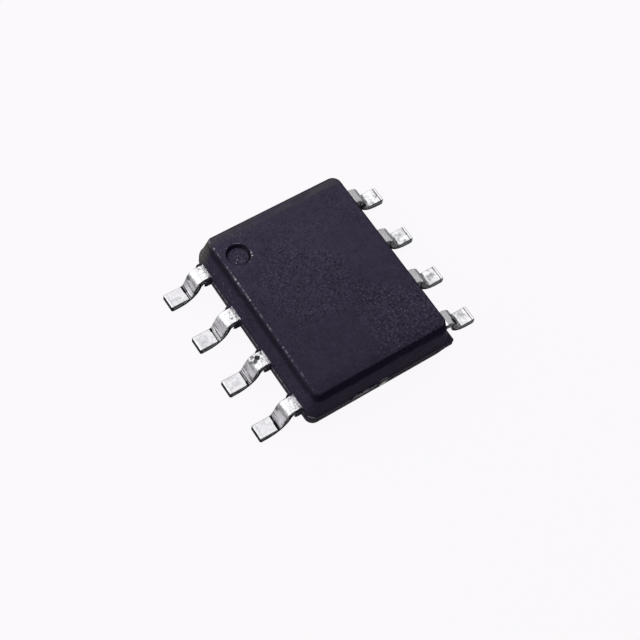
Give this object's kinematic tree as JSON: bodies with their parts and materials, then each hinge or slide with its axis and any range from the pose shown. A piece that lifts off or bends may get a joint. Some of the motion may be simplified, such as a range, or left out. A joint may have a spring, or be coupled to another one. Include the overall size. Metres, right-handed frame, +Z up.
{
  "type": "soic chip",
  "caption": "Small-outline surface-mount integrated circuit: moulded body with drafted sides, a corner dimple and gull-wing leads along its two long sides.",
  "frame": {"origin": "centre of the package on the seating plane, under the feet", "axes": "+Z up from the seating plane, +Y along the rows of leads towards the end with the dimple, +X from the row that holds lead one to the other row"},
  "size_m": [0.006, 0.005, 0.0015],
  "materials": {
    "body_resin": "moulded charcoal resin, fine matt grain",
    "lead_tin": "matt tin plating on iron-nickel alloy",
    "frame_alloy": "bare iron-nickel alloy leadframe",
    "die_adhesive": "silver-filled adhesive",
    "silicon": "polished silicon",
    "wire_gold": "drawn gold wire"
  },
  "bodies": {
    "root": {"mold_body": "body_resin", "lead_1": "lead_tin", "lead_2": "lead_tin", "lead_3": "lead_tin", "lead_4": "lead_tin", "lead_5": "lead_tin", "lead_6": "lead_tin", "lead_7": "lead_tin", "lead_8": "lead_tin", "die_paddle": "frame_alloy", "die_attach": "die_adhesive", "die": "silicon", "bond_wire_1": "wire_gold", "bond_wire_2": "wire_gold", "bond_wire_3": "wire_gold", "bond_wire_4": "wire_gold", "bond_wire_5": "wire_gold", "bond_wire_6": "wire_gold", "bond_wire_7": "wire_gold", "bond_wire_8": "wire_gold"}
  },
  "joints": []
}
